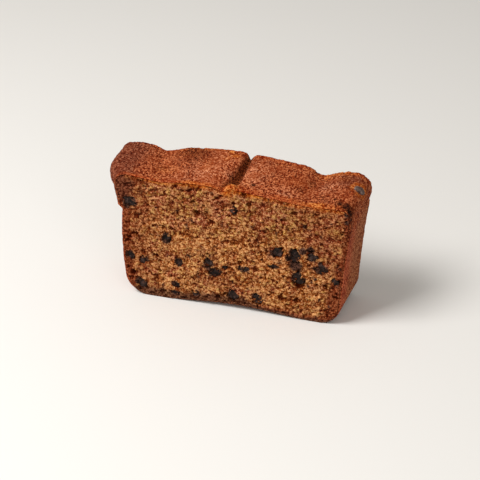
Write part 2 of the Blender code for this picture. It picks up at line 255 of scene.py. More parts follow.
@dataclass(frozen=True)
class SliceForm:
    """The form of the whole slice, on the same driving sizes as its solid."""

    thickness: float = 0.030
    front_height: float = 0.0641
    back_height: float = 0.0665
    front_tilt: float = -0.025
    crown_x: float = -0.007
    crown_reach: float = 0.028
    front_crown: float = 0.0020
    back_crown: float = 0.0033
    ears_x: Pair = (-0.054, 0.050)
    ear_rise: float = 0.0007
    ear_reach: float = 0.006
    left_shoulder: float = 0.0055
    right_shoulder: Pair = (0.0035, 0.0060)
    bridge_at: Pair = (-0.0006, -0.0140)
    bridge_reach: float = 0.0040
    bridge_height: float = 0.0008
    arch_height: float = 0.0024
    arch_x: float = 0.002
    arch_reach: float = 0.038
    arch_end_y: float = -0.005
    base_corner: float = 0.0100
    left_foot: float = -0.0530
    left_bulge: float = 0.0025
    lip_z: float = 0.0466
    lip_top_z: float = 0.0620
    lip_step: float = 0.0022
    lip_step_height: float = 0.0025
    lip_spread: float = 0.0032
    lip_back_flare: float = 0.0066
    lip_flare_height: float = 0.010
    lip_flare_share: float = 0.45
    right_foot: float = 0.0525
    right_lean: float = 0.0034
    right_lean_top: float = 0.0500
    right_back_flare: float = 0.0021
    shoulder_z: float = 0.0600
    shoulder_bulge: float = 0.0011
    shoulder_reach: float = 0.0065
    rim_height: float = 0.0660
    creases: tuple[Crease, ...] = (
        Crease((-0.036, -0.042), (0.0008, 0.0024), (0.0060, 0.0045), (0.0080, 0.0080), 2),
        Crease((-0.0008, 0.0002), (0.0054, 0.0036), (0.0050, 0.0012), (0.0018, 0.0020), 1.5),
        Crease((0.034, 0.0362), (0.0005, 0.0036), (0.0050, 0.0053), (0.0050, 0.0065), 2),
    )

    @property
    def front_y(self) -> float:
        """Where the front cut lies."""
        return -self.thickness / 2

    def share(self, y: Array) -> Array:
        """0 at the front cut, 1 at the back one."""
        return (y - self.front_y) / self.thickness

    def bridge(self, x: Array, y: Array) -> Array:
        """1 on the lump of crumb that bridges the crack at the front cut, and 0 away from it."""
        return bump(np.hypot(x - self.bridge_at[0], y - self.bridge_at[1]), self.bridge_reach)

    def top(self, x: Array, y: Array) -> Array:
        """The top crust's height.

        Args:
            x: The points' x.
            y: The points' y.

        Returns:
            The crust's place at each point.
        """
        share = self.share(y)
        height = blend(self.front_height + self.front_tilt * x, self.back_height, share)
        crown = blend(self.front_crown, self.back_crown, share)
        height = height + crown * bump(x - self.crown_x, self.crown_reach)
        for ear_x in self.ears_x:
            height = height + self.ear_rise * bump(x - ear_x, self.ear_reach)
        left, middle, right = self.creases
        bridge = self.bridge(x, y)
        height = height - left.lowering(x, share) - right.lowering(x, share)
        return height - middle.lowering(x, share) * (1.0 - bridge) + self.bridge_height * bridge

    def base(self, x: Array, y: Array) -> Array:
        """The base crust's height.

        Args:
            x: The points' x.
            y: The points' y.

        Returns:
            Zero where the base rests, and more under the arch at the front cut.
        """
        towards_front = eased((self.arch_end_y - y) / (self.arch_end_y - self.front_y))
        across = np.minimum(1.0, np.abs(x - self.arch_x) / self.arch_reach)
        return self.arch_height * (1.0 - across**2) ** 2 * towards_front

    def left_wall(self, z: Array, y: Array) -> Array:
        """The left side's x, with the lip that overhangs the tin's rim.

        Args:
            z: The points' z.
            y: The points' y.

        Returns:
            The crust's place at each point.
        """
        x = self.left_foot - self.left_bulge * np.sin(math.pi * np.clip(z / self.lip_top_z, 0.0, 1.0))
        x = x - self.lip_step * eased((z - self.lip_z) / self.lip_step_height)
        x = x - self.lip_spread * eased((z - self.lip_z) / (self.lip_top_z - self.lip_z))
        flare = self.lip_back_flare * eased(self.share(y) / self.lip_flare_share)
        return x - flare * eased((z - self.lip_z) / self.lip_flare_height)

    def right_wall(self, z: Array, y: Array) -> Array:
        """The right side's x, with the rounded shoulder under the top crust.

        Args:
            z: The points' z.
            y: The points' y.

        Returns:
            The crust's place at each point.
        """
        share = self.share(y)
        lean = np.clip(z, 0.0, self.right_lean_top) / self.lip_z
        bulge = self.shoulder_bulge * bump(z - self.shoulder_z, self.shoulder_reach)
        return self.right_foot + self.right_lean * lean**1.5 + (self.right_back_flare + bulge) * share

    def place(self, u: Array, v: Array, w: Array, inset: Array) -> tuple[Array, Array, Array, Array]:
        """Points of the slice, from shares of its width, height and thickness.

        Args:
            u: Shares of the width, from the left side.
            v: Shares of the height, from the base.
            w: Shares of the thickness, from the front cut.
            inset: How far the outside is drawn in, or let out where it is negative.

        Returns:
            The points' x, y and z, and how deep each lies below the outside.
        """
        y = self.front_y + w * self.thickness
        x = blend(self.left_foot, self.right_foot, u)
        z = v * self.rim_height
        for _ in range(3):
            x = blend(self.left_wall(z, y) + inset, self.right_wall(z, y) - inset, u)
            z = blend(self.base(x, y) + inset, self.top(x, y) - inset, v)
        left, right = self.left_wall(z, y) + inset, self.right_wall(z, y) - inset
        low, high = self.base(x, y) + inset, self.top(x, y) - inset
        at_left, at_base = x - left < right - x, z - low < high - z
        shoulder = np.where(at_left, self.left_shoulder, blend(*self.right_shoulder, self.share(y)))
        radius = np.where(at_base, self.base_corner, shoulder) - inset
        from_wall = np.minimum(x - left, right - x)
        from_floor = np.minimum(z - low, high - z)
        across, up = radius - from_wall, radius - from_floor
        in_corner = (across > 0) & (up > 0)
        reach = np.where(in_corner, np.hypot(across, up), 1.0)
        squeeze = np.where(in_corner, np.maximum(across, up) / reach, 1.0)
        from_wall, from_floor = radius - across * squeeze, radius - up * squeeze
        x = np.where(at_left, left + from_wall, right - from_wall)
        z = np.where(at_base, low + from_floor, high - from_floor)
        rounded = radius - np.maximum(across, up)
        depth = np.where(in_corner, rounded, np.minimum(from_wall, from_floor)) + inset
        return x, y, z, depth


def grid_cube(columns: int, layers: int, rows: int, open_cuts: bool = False) -> bmesh.types.BMesh:
    """A unit cube whose faces are cut into a grid.

    Args:
        columns: Grid steps along X.
        layers: Grid steps along Y.
        rows: Grid steps along Z.
        open_cuts: True leaves out the faces towards -Y and +Y.

    Returns:
        The cube, from 0 to 1 along each axis.
    """
    bm = bmesh.new()
    bmesh.ops.create_cube(bm, size=1.0, matrix=Matrix.Translation((0.5, 0.5, 0.5)))
    if open_cuts:
        cuts = [face for face in bm.faces if abs(face.normal.y) > 0.5]
        bmesh.ops.delete(bm, geom=cuts, context="FACES_ONLY")
    for axis, count in enumerate((columns, layers, rows)):
        edges = [e for e in bm.edges if abs((e.verts[1].co - e.verts[0].co)[axis]) > 0.5]
        if count > 1:
            bmesh.ops.subdivide_edges(bm, edges=edges, cuts=count - 1, use_grid_fill=True)
    return bm


def vertex_places(mesh: bpy.types.Mesh) -> Array:
    """The places of a mesh's vertices, one row for each."""
    places = np.empty(len(mesh.vertices) * 3, dtype=np.float32)
    mesh.vertices.foreach_get("co", places)
    return places.reshape(-1, 3).astype(np.float64)


@dataclass
class Piece:
    """A piece of the dressed slice, which rides on the frame in place of its solids."""

    name: str
    replaced: tuple[str, ...]
    slot: str

    def finish_mesh(
        self, bm: bmesh.types.BMesh, places: Array, looks: dict[str, Array]
    ) -> bpy.types.Object:
        """Ends a bmesh as this piece's object and joins it to the frame.

        Args:
            bm: The piece's faces.
            places: Where its vertices go.
            looks: Values for each vertex that the materials read, by name.

        Returns:
            The piece's object.
        """
        mesh = bpy.data.meshes.new(self.name)
        bm.to_mesh(mesh)
        bm.free()
        mesh.vertices.foreach_set("co", places.astype(np.float32).ravel())
        for look, values in looks.items():
            attribute = mesh.attributes.new(look, "FLOAT", "POINT")
            attribute.data.foreach_set("value", values.astype(np.float32))
        mesh.update()
        mesh.shade_smooth()
        piece = bpy.data.objects.new(self.name, mesh)
        bpy.context.scene.collection.objects.link(piece)
        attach(piece, BODY)
        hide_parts(*self.replaced)
        log.info("%s: %d faces", self.name, len(mesh.polygons))
        return piece


def gaps(points: Array, place: Vector | tuple[float, ...]) -> Array:
    """How far points are from a place."""
    return np.linalg.norm(points - np.array(place), axis=1)


@dataclass(frozen=True)
class Spot:
    """A place where the bake differs, such as a scorched corner."""

    x: float
    y: float
    z: float
    reach: float
    strength: float = 1.0

    def weight(self, points: Array) -> Array:
        """The spot's strength at each point, which fades over its reach."""
        return self.strength * bump(gaps(points, (self.x, self.y, self.z)), self.reach)


def spots(*rows: tuple[float, ...]) -> tuple[Spot, ...]:
    """Spots from rows of x, y, z and reach, in millimetres, and strength."""
    return tuple(Spot(*(size * MM for size in sizes), strength) for *sizes, strength in rows)


def spotted(some: tuple[Spot, ...], points: Array) -> Array:
    """The strongest of some spots at each point."""
    return np.max([spot.weight(points) for spot in some], axis=0)


@dataclass(frozen=True)
class Socket:
    """The hollow that a chip sits in on a cut face, as an ellipse read from the chip's own solid."""

    centre: Array
    axes: Array
    radii: Array
    cut: Cut

    @classmethod
    def from_node(cls, node: str, cut: Cut) -> "Socket":
        """Reads the ellipse from the rim of the chip's flat face.

        Args:
            node: The chip's node.
            cut: The face that it shows on.

        Returns:
            The hollow for that chip.
        """
        places = vertex_places(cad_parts[node].data)
        flat = places[:, 1] * cut.value
        rim = places[flat > flat.max() - ON_FLAT][:, (0, 2)]
        centre = (rim.min(axis=0) + rim.max(axis=0)) / 2
        _, axes = np.linalg.eigh(np.cov((rim - centre).T))
        spans = np.ptp((rim - centre) @ axes, axis=0)
        return cls(centre, axes, spans / 2, cut)

    def distance(self, x: Array, z: Array) -> Array:
        """How far out points are: 0 at the centre and 1 at the edge."""
        turned = (np.stack([x, z], axis=1) - self.centre) @ self.axes
        return np.sqrt(((turned / self.radii) ** 2).sum(axis=1))


@dataclass
class Crumb(Piece):
    """The crumb: two cut faces torn into granules and open pores, on a core that the crust hides."""

    form: SliceForm
    sockets: list[Socket]
    columns: int = 284
    rows: int = 160
    inset: float = 0.9 * MM
    core_inset: float = 1.8 * MM
    chunk: float = 1.9 * MM
    chunk_height: float = 0.78 * MM
    granule: float = 1.0 * MM
    granule_height: float = 0.50 * MM
    fine_size: float = 1.6 * MM
    fine_height: float = 0.70 * MM
    swell_size: float = 7.0 * MM
    swell_height: float = 0.25 * MM
    flatten: float = 0.80
    chunk_lift: Pair = (0.30, 0.85)
    granule_lift: Pair = (0.35, 0.95)
    warp: float = 0.7 * MM
    warp_size: float = 2.4 * MM
    mottle: float = 0.30 * MM
    mottle_size: float = 3.4 * MM
    tint_height: float = 0.5 * MM
    tone_spread: float = 0.18
    pores: int = 360
    pore_seed: int = 40
    pore_radius: float = 0.48 * MM
    pore_spread: float = 0.45
    pore_stretch: Pair = (1.0, 2.0)
    pore_lean: Pair = (-0.5, 0.5)
    pore_depth: float = 1.2
    socket_depth: float = 2.0 * MM
    socket_tear: float = 0.85
    tear_size: float = 2.1 * MM
    island_rate: float = 0.25
    edge_drop: float = 0.15 * MM
    edge_reach: float = 1.6 * MM
    lowest: float = -1.3 * MM
    highest: float = 0.40 * MM
    proudest: float = 1.0 * MM
    cloud_size: float = 9.0 * MM
    ragged_size: float = 2.5 * MM
    rosy_size: float = 4.5 * MM
    golden_size: float = 5.0 * MM
    left_rind: float = 6.8 * MM
    right_rinds: Pair = (8.4 * MM, 4.8 * MM)
    dusk_reaches: Pair = (6.2 * MM, 2.8 * MM)
    corner: Spot = Spot(-0.0565, 0.0, 0.0590, 0.0070, 1.6)
    corner_dusk: float = 0.55
    lump: Spot = Spot(-0.0030, 0.0, 0.0640, 0.0030)
    stain_start: float = 0.90
    stain_reach: float = 0.40
    smudges: tuple[Spot, ...] = spots(
        (30.8, 0.0, 30.0, 3.2, 1.5), (30.0, 0.0, 36.5, 2.6, 1.4), (34.0, 0.0, 38.6, 2.0, 1.3),
        (38.0, 0.0, 39.6, 2.0, 1.2), (27.5, 0.0, 33.5, 2.0, 1.1), (42.5, 0.0, 33.0, 1.8, 1.0),
        (54.8, 0.0, 61.2, 1.8, 1.0), (54.6, 0.0, 56.8, 1.4, 0.8), (40.5, 0.0, 24.0, 1.0, 1.0),
        (38.8, 0.0, 21.8, 1.0, 1.0), (37.2, 0.0, 19.8, 1.0, 1.0), (-6.9, 0.0, 57.9, 1.6, 0.6),
        (-1.4, 0.0, 45.4, 1.4, 0.6), (34.6, 0.0, 51.5, 1.6, 0.6), (5.1, 0.0, 60.9, 1.8, 0.5),
        (-12.5, 0.0, 21.5, 2.6, 0.8),
    )
    grain: Grain = Grain(21)

    def relief(self, x: Array, z: Array, depth: Array, cut: Cut) -> tuple[Array, Array]:
        """How far the crumb stands out of a cut face, and how its granules differ.

        Args:
            x: The points' x.
            z: The points' z.
            depth: How deep they lie below the outside crust.
            cut: Which face they are on.

        Returns:
            Heights above the knife's plane, negative in pores, and the granules' numbers from 0 to 1.
        """
        plain = np.stack([x, np.full(len(x), 0.05 * cut.value), z / self.flatten], axis=1)
        stir = self.warp * self.grain.stir(plain, self.warp_size)
        points = plain + stir
        nearest, tint = self.grain.granules(points, self.chunk)
        height = self.chunk_height * (blend(*self.chunk_lift, tint) - nearest * nearest)
        fine, fine_tint = self.grain.granules(points + 0.5, self.granule)
        height += self.granule_height * (blend(*self.granule_lift, fine_tint) - fine)
        height += self.fine_height * self.grain.rough(plain, self.fine_size, 3)
        height += self.swell_height * self.grain.rough(plain, self.swell_size)
        height = np.minimum(height, self.pore_floor(x + stir[:, 0], z + stir[:, 2], cut))
        height -= self.edge_drop * bump(depth, self.edge_reach)
        torn = self.socket_tear * self.grain.rough(plain + 0.6, self.tear_size)
        island = fine_tint < self.island_rate
        for socket in self.sockets:
            if socket.cut is cut:
                out = socket.distance(x, z) + torn
                seat = -self.socket_depth * Edge(1.0, 0.3).within(out)
                bare = (out < 1.0) & ~(island & (out > 0.45))
                height = np.where(bare, np.minimum(height, seat), height)
        return height, blend(tint, fine_tint, 0.4)

    def pore_floor(self, x: Array, z: Array, cut: Cut) -> Array:
        """The floor of the open pores.

        Args:
            x: The points' x.
            z: The points' z.
            cut: Which face they are on.

        Returns:
            The floor's height above the knife's plane, which is high where there is no pore.
        """
        draw = np.random.default_rng(self.pore_seed + cut.value)
        floor = np.full(len(x), 1.0)
        low, high = np.array([x.min(), z.min()]), np.array([x.max(), z.max()])
        for _ in range(self.pores):
            cx, cz = draw.uniform(low, high)
            radius = self.pore_radius * math.exp(draw.normal(0.0, self.pore_spread))
            stretch = draw.uniform(*self.pore_stretch)
            lean = draw.uniform(*self.pore_lean)
            along = (x - cx) * math.cos(lean) + (z - cz) * math.sin(lean)
            aside = (z - cz) * math.cos(lean) - (x - cx) * math.sin(lean)
            out = (along / (radius * stretch)) ** 2 + (aside / radius) ** 2
            bowl = 0.1 * MM - radius * self.pore_depth * np.sqrt(np.clip(1.0 - out, 0.0, 1.0))
            floor = np.where(out < 1.0, np.minimum(floor, bowl), floor)
        return floor

    def coats(self, points: Array, tint: Array) -> dict[str, Array]:
        """Where each tone of the crumb shows.

        Args:
            points: The vertices' places.
            tint: The granules' numbers.

        Returns:
            A weight from 0 to 1 for each coat.
        """
        x, y, z = points.T
        flat = points * (1.0, 0.0, 1.0)
        cloud = self.grain.rough(points, self.cloud_size)
        ragged = self.grain.rough(points, self.ragged_size)
        near_side = np.minimum(x - self.form.left_wall(z, y), self.form.right_wall(z, y) - x)
        near_base = z - self.form.base(x, y)
        near_top = self.form.top(x, y) - z
        upper = Edge(30.0 * MM, 25.0 * MM).beyond(z)
        rightwards = Edge(4.0 * MM, 12.0 * MM).beyond(x)
        rosy = self.grain.rough(points + 0.8, self.rosy_size)
        rosy = Patches(0.15, 1.6, 0.80).over(rosy, 0.3 * upper)
        olive = Edge(0.35, 0.3).beyond(tint) * Patches(0.45, 1.3).over(cloud)
        golden = Patches(0.60, 1.2).over(self.grain.rough(points + 0.4, self.golden_size))
        amber = Edge(3.0 * MM, 1.6 * MM, 0.9 * MM).within(near_top, ragged)
        amber = amber * Patches(0.7, 1.1).over(cloud)
        amber = np.maximum(amber, np.clip(self.lump.weight(flat), 0.0, 1.0) * (y < 0))
        reach = blend(*self.right_rinds, Edge(12.0 * MM, 28.0 * MM).beyond(z))
        reach = np.where(x < 0.0, self.left_rind, reach)
        at_side = Edge(0.0, 3.4 * MM, 1.5 * MM, 0.92).within(near_side - reach, ragged)
        at_base = rightwards * Edge(4.8 * MM, 3.0 * MM, 1.2 * MM, 0.92).within(near_base, ragged)
        at_left = Edge(-38.0 * MM, 8.0 * MM, share=0.45).within(x)
        # Darker towards the upper right of the cut face, in the rind's colours, not only by the crust
        at_right = Edge(26.0 * MM, 12.0 * MM, share=0.32).beyond(x)
        at_right = at_right * Edge(22.0 * MM, 12.0 * MM).beyond(z)
        corner = Edge(0.0, 1.0, 0.5).beyond(self.corner.weight(flat), ragged)
        reach = blend(*self.dusk_reaches, rightwards)
        dusk = Edge(0.0, 2.4 * MM, 1.1 * MM, 0.85).within(near_base - reach, ragged)
        smear = Edge(0.25, 0.5, 0.45).beyond(spotted(self.smudges, flat), ragged) * (y < 0)
        for socket in self.sockets:
            stain = bump(np.maximum(socket.distance(x, z) - self.stain_start, 0.0), self.stain_reach)
            stain = Edge(0.42, 0.45, 1.1).beyond(0.75 * stain, ragged) * (y * socket.cut.value > 0)
            smear = np.maximum(smear, np.where(stain > 0.05, stain, 0.0))
        return {
            "rosy": np.maximum(rosy, Edge(0.24, 0.06, share=0.7).within(tint)),
            "olive": blend(0.25, 0.70, upper) * olive,
            "golden": blend(0.85, 0.15, upper) * golden,
            "straw": Edge(0.76, 0.06, share=0.55).beyond(tint),
            "amber": amber * (1.0 - corner),
            # The reddish edge by the crust, and the darker upper right of the cut face
            "rind": np.maximum.reduce((at_side, at_base, at_left, at_right, corner)),
            "dusk": np.maximum(dusk, self.corner_dusk * corner),
            "smear": smear,
        }

    def build(self) -> bpy.types.Object:
        """Makes the crumb.

        Returns:
            Its object, with what its finish reads.
        """
        bm = grid_cube(self.columns, len(CORE_SHARES) - 1, self.rows)
        u, w, v = np.array([vertex.co for vertex in bm.verts]).T
        w = core_shares(w)
        inset = np.where(np.abs(w - 0.5) < 0.5 - ON_CUT, self.core_inset, self.inset)
        x, y, z, depth = self.form.place(u, v, w, inset)
        relief, tint, tone = np.zeros(len(u)), np.full(len(u), 0.5), np.full(len(u), 0.5)
        for cut in Cut:
            on_cut = np.abs(w - cut.share) < ON_CUT
            relief[on_cut], tint[on_cut] = self.relief(x[on_cut], z[on_cut], depth[on_cut], cut)
            relief[on_cut] = np.minimum(relief[on_cut], self.proudest)
            plain = np.stack([x[on_cut], np.full(on_cut.sum(), 0.03 * cut.value), z[on_cut]], axis=1)
            # Painted shade in the pores and hollows and a painted highlight on the granules, over the
            # crumb's own tints
            shade = np.clip(relief[on_cut], self.lowest, self.highest) + self.tint_height * tint[on_cut]
            shade = shade + self.mottle * self.grain.rough(plain, self.mottle_size, 2)
            tone[on_cut] = evened(shade, self.tone_spread)
            y = np.where(on_cut, y + cut.value * relief, y)
        places = np.stack([x, y, z], axis=1)
        return self.finish_mesh(bm, places, {"tone": tone, **self.coats(places, tint)})


@dataclass
class Crust(Piece):
    """The browned crust: a closed band round the crumb, cut through at the front and the back."""

    form: SliceForm
    shoulder_chip: Vector
    columns: int = 300
    layers: int = 70
    rows: int = 150
    rim_steps: int = 3
    wall: float = 1.2 * MM
    wall_unevenness: float = 0.5 * MM
    wall_size: float = 4.0 * MM
    inner_scale: float = 0.9
    crag_size: float = 5.0 * MM
    crag_height: float = 0.20 * MM
    warp: float = 0.4 * MM
    warp_size: float = 2.0 * MM
    granule: float = 1.0 * MM
    granule_height: float = 0.35 * MM
    granule_lift: Pair = (0.45, 0.95)
    pit_size: float = 2.2 * MM
    pit_depth: float = 0.30 * MM
    tone_spread: float = 0.12
    side_share: float = 0.40
    patch_size: float = 9.0 * MM
    grain_strengths: Pair = (1.15, 0.55)
    smooth_place: float = -0.0150
    smooth_reach: float = 0.0060
    smoothing: float = 0.50
    rim_height: float = 0.10 * MM
    cloud_size: float = 8.0 * MM
    ragged_size: float = 2.2 * MM
    tone_size: float = 7.0 * MM
    band_reaches: Pair = (2.0 * MM, 3.6 * MM)
    band_end_x: float = -50.0 * MM
    band_end_share: float = 0.55
    ear_x: float = 50.0 * MM
    ear_reach: float = 7.0 * MM
    glows: tuple[Pair, ...] = ((41.0 * MM, 8.5 * MM), (-17.0 * MM, 7.0 * MM))
    chip_seat: float = 0.7 * MM
    chip_reach: float = 2.6 * MM
    ring_radius: float = 3.6 * MM
    ring_reach: float = 1.3 * MM
    knob: Spot = Spot(-0.0010, -0.0138, 0.0656, 0.0032, 1.3)
    knob_height: float = 0.5 * MM
    charred: tuple[Spot, ...] = spots(
        (53.6, -11.5, 63.2, 2.2, 1.1), (55.6, -13.8, 61.5, 2.2, 1.1), (55.9, -14.5, 58.2, 1.6, 0.9),
        (50.2, -10.4, 64.2, 1.4, 0.9), (47.2, -7.8, 64.3, 1.0, 0.8), (8.2, -8.3, 66.2, 1.1, 1.2),
    )
    char_depth: float = 0.45 * MM
    # Burnt crust, most of it round the right shoulder, and painted shade in the crack and the creases
    burn_and_painted_shade_spots: tuple[Spot, ...] = spots(
        (55.0, -12.5, 62.0, 4.2, 1.0), (50.0, -10.5, 64.2, 2.6, 0.8), (56.0, -14.3, 56.0, 3.0, 0.9),
        (55.6, -14.5, 50.0, 3.0, 0.7), (-57.5, -14.0, 59.0, 4.5, 0.45), (-3.9, -9.2, 65.0, 2.2, 0.7),
        (29.3, -3.5, 64.5, 2.2, 0.55), (33.2, 3.5, 63.6, 2.6, 0.55), (-38.0, -2.9, 64.9, 2.8, 0.4),
        (-26.0, 11.0, 68.0, 8.0, 0.85), (42.0, -11.5, 63.0, 5.5, 0.3),
    )
    paled: tuple[Spot, ...] = spots(
        (-16.0, -5.0, 67.0, 6.8, 1.1), (-6.0, -4.0, 65.5, 3.6, 0.5), (5.5, -4.0, 66.0, 6.0, 0.8),
        (6.0, 4.0, 68.0, 6.5, 0.7), (-26.0, -11.0, 65.0, 5.5, 0.6), (-12.0, 8.0, 69.0, 6.0, 0.6),
        (23.0, -11.0, 64.0, 6.0, 0.45), (42.5, 2.0, 64.5, 4.5, 0.8),
    )
    ambered: tuple[Spot, ...] = spots(
        (-9.2, 13.4, 69.6, 2.2, 1.0), (-6.0, 11.0, 69.1, 2.2, 1.0), (-10.0, 8.5, 69.0, 2.2, 0.7),
    )
    grain: Grain = Grain(7)

    def band(self) -> bmesh.types.BMesh:
        """The crust's faces: an outer tube and an inner one, joined at both cuts."""
        bm = grid_cube(self.columns, self.layers, self.rows, open_cuts=True)
        inner = grid_cube(self.columns, len(CORE_SHARES) - 1, self.rows, open_cuts=True)
        bmesh.ops.reverse_faces(inner, faces=inner.faces[:])
        centre = Matrix.Translation((-0.5, 0.0, -0.5))
        scale = (self.inner_scale, 1.0, self.inner_scale)
        bmesh.ops.scale(inner, vec=scale, space=centre, verts=inner.verts)
        mesh = bpy.data.meshes.new("inner")
        inner.to_mesh(mesh)
        inner.free()
        bm.from_mesh(mesh)
        bpy.data.meshes.remove(mesh)
        for cut in Cut:
            rims = [e for e in bm.edges if e.is_boundary and abs(e.verts[0].co.y - cut.share) < ON_CUT]
            bridge = bmesh.ops.bridge_loops(bm, edges=rims)
            across = {e for f in bridge["faces"] for e in f.edges if not set(rims) & {e}}
            steps = self.rim_steps - 1
            bmesh.ops.subdivide_edges(bm, edges=list(across), cuts=steps, use_grid_fill=True)
        return bm

    def crowded(self, u: Array) -> Array:
        """Moves grid columns closer together at the middle crack, whose walls are steep.

        Args:
            u: The columns' even shares of the width.

        Returns:
            Their moved shares.
        """
        crack = -self.form.left_foot / (self.form.right_foot - self.form.left_foot)
        places = (0.0, crack - 0.052, crack, crack + 0.024, 1.0)
        return np.interp(u, (0.0, 0.42, 0.51, 0.55, 1.0), places)

    def coats(self, points: Array, share: Array, inward: Array) -> dict[str, Array]:
        """Where each tone of the crust shows.

        Args:
            points: The vertices' places.
            share: How far each lies from the front cut to the back one.
            inward: How far each lies through the crust, 0 outside.

        Returns:
            A weight from 0 to 1 for each coat.
        """
        x, y, z = points.T
        cloud = self.grain.rough(points, self.cloud_size)
        ragged = self.grain.rough(points, self.ragged_size)
        patches = self.grain.rough(points + 0.5, self.tone_size)
        crown = Edge(47.5 * MM, 8.0 * MM, 1.5 * MM).beyond(z, ragged)
        below_top = self.form.top(x, y) - z
        from_cut = np.minimum(share, 1.0 - share) * self.form.thickness
        reach = np.where(x < 0.0, *self.band_reaches)
        band = Edge(0.0, 1.5 * MM, 0.9 * MM).within(from_cut - reach, ragged)
        band = band * Edge(55.5 * MM, 5.0 * MM).beyond(z) * Edge(3.6 * MM, 1.6 * MM).within(below_top)
        band = band * Patches(0.75, 0.8).over(cloud)
        band = band * np.where(x > self.band_end_x, 1.0, self.band_end_share)
        left, middle, right = self.form.creases
        deep = middle.lowering(x, share) / middle.depth[0]
        lump = self.form.bridge(x, y) * crown
        # Painted shade on the crack's walls where it is deep, but not on the lump that bridges it
        crack = Edge(0.10, 0.40, 0.10).beyond(deep, ragged) * crown
        crack = crack * (1.0 - Edge(0.2, 0.25).beyond(lump))
        # Painted shade in the left and right creases
        crease = (left.lowering(x, share) + right.lowering(x, share)) / 3.6 * MM
        crease = Patches(-0.35, 1.1, 0.45).over(crease) * Patches(0.6, 1.0).over(ragged) * crown
        knob = np.clip(self.knob.weight(points), 0.0, 1.0)
        # Burnt crust and painted crease shade from the spots, with the crack's painted shade
        burn_and_painted_crease_shade = np.maximum(crack, np.clip(spotted(self.burn_and_painted_shade_spots, points), 0.0, 1.0)) * (1.0 - knob)
        at_left = Edge(-44.0 * MM, 10.0 * MM, 3.0 * MM).within(x, cloud)
        ear = bump(x - self.ear_x, self.ear_reach) * Edge(0.45, 0.30, share=0.85).beyond(share)
        shade = np.maximum.reduce((0.8 * at_left, ear, Patches(-0.15, 1.6, 0.38).over(patches)))
        glow = band * np.max([bump(x - middle_x, reach) for middle_x, reach in self.glows], axis=0)
        ring = 0.9 * bump(gaps(points, self.shoulder_chip) - self.ring_radius, self.ring_reach)
        amber = np.maximum(spotted(self.ambered, points), ring) * Patches(0.55, 1.2).over(ragged)
        warmth = Patches(-0.20, -1.6, 0.25).over(patches) * crown * (1.0 - at_left)
        through = Edge(0.0, 0.25).beyond(inward)
        sole = Edge(4.5 * MM, 3.0 * MM).within(z)
        rind = np.maximum(1.0 - crown, Edge(1.6 * MM, 1.2 * MM).beyond(below_top))
        return {
            "tan": Edge(0.12, 0.40).beyond(share) * np.where(x < 0.0, 0.85, 1.0),
            "crown": crown,
            "pale": spotted(self.paled, points) * crown,
            "dusk": shade * crown,
            "band": np.maximum(band, Edge(0.25, 0.3).beyond(lump)),
            # Burnt crust and the painted shade of the crack and the creases, on the outside only
            "burn_and_painted_crease_shade": np.maximum(burn_and_painted_crease_shade, crease) * (1.0 - through),
            "amber": np.maximum.reduce((amber, glow, knob, warmth)),
            "rind": through * rind * np.where(x < 0.0, 0.7, 1.0),
            "char": Edge(0.30, 0.40, 0.35).beyond(spotted(self.charred, points), ragged),
            "sole": np.maximum(sole, through * Edge(6.0 * MM, 4.0 * MM).within(z)),
        }

    def build(self) -> bpy.types.Object:
        """Makes the crust.

        Returns:
            Its object, with what its finish reads.
        """
        bm = self.band()
        unit = np.array([v.co for v in bm.verts])
        outward = 2 * unit[:, (0, 2)] - 1
        side = np.abs(outward).max(axis=1)
        inward = np.clip((1.0 - side) / (1.0 - self.inner_scale), 0.0, 1.0)
        u, v = np.clip((outward.T / side + 1) / 2, 0.0, 1.0)
        u = self.crowded(u)
        w = np.where(inward > 0.999, core_shares(unit[:, 1]), unit[:, 1])
        x, y, z, _ = self.form.place(u, v, w, np.zeros(len(u)))
        points = np.stack([x, y, z], axis=1)
        crown = Edge(46.0 * MM, 10.0 * MM).beyond(z)
        torn = self.form.bridge(x, y) * crown
        stirred = points + self.warp * self.grain.stir(points, self.warp_size)
        near, tint = self.grain.granules(stirred, self.granule)
        beads = blend(*self.granule_lift, tint) - near
        crags = self.grain.rough(points, self.crag_size)
        pits = Edge(0.22, 0.25).beyond(self.grain.rough(points + 0.9, self.pit_size, 2))
        smooth = Patches(0.30, 1.5).over(self.grain.rough(points + 1.1, self.patch_size))
        smooth = np.maximum(smooth, bump(x - self.smooth_place, self.smooth_reach))
        calm = blend(1.0, blend(*self.grain_strengths, smooth), crown)
        relief = self.granule_height * beads * (1.0 + 1.2 * torn)
        relief = relief + self.crag_height * crags - self.pit_depth * pits
        relief = blend(self.side_share, 1.0, crown) * calm * relief
        relief = blend(relief, -np.abs(relief), Edge(4.0 * MM, 4.0 * MM).within(z))
        relief = relief - self.chip_seat * bump(gaps(points, self.shoulder_chip), self.chip_reach)
        relief = relief + self.knob_height * self.knob.weight(points)
        relief = relief - self.char_depth * np.minimum(spotted(self.charred, points), 1.0)
        wall = self.wall + self.wall_unevenness * self.grain.rough(points + 0.7, self.wall_size)
        wall = wall * blend(1.0, 0.75, crown)
        x, y, z, _ = self.form.place(u, v, w, blend(-relief, wall, inward))
        z = np.maximum(z, 0.0)
        rim = self.rim_height * (0.3 + 1.2 * crags + beads)
        for cut in Cut:
            on_rim = (np.abs(w - cut.share) < ON_CUT) & (inward > 0) & (inward < 1)
            y = np.where(on_rim, y + cut.value * rim, y)
        places = np.stack([x, y, z], axis=1)
        # Painted shade in the pits and a painted highlight on the beads, over the crust's own speckle
        tone = evened(beads + 0.12 * crags - 0.5 * pits, self.tone_spread)
        tone = 0.5 + 0.9 * calm * (tone - 0.5)
        values = {"tone": tone, "smooth": self.smoothing * smooth * crown}
        return self.finish_mesh(bm, places, {**values, **self.coats(places, w, inward)})


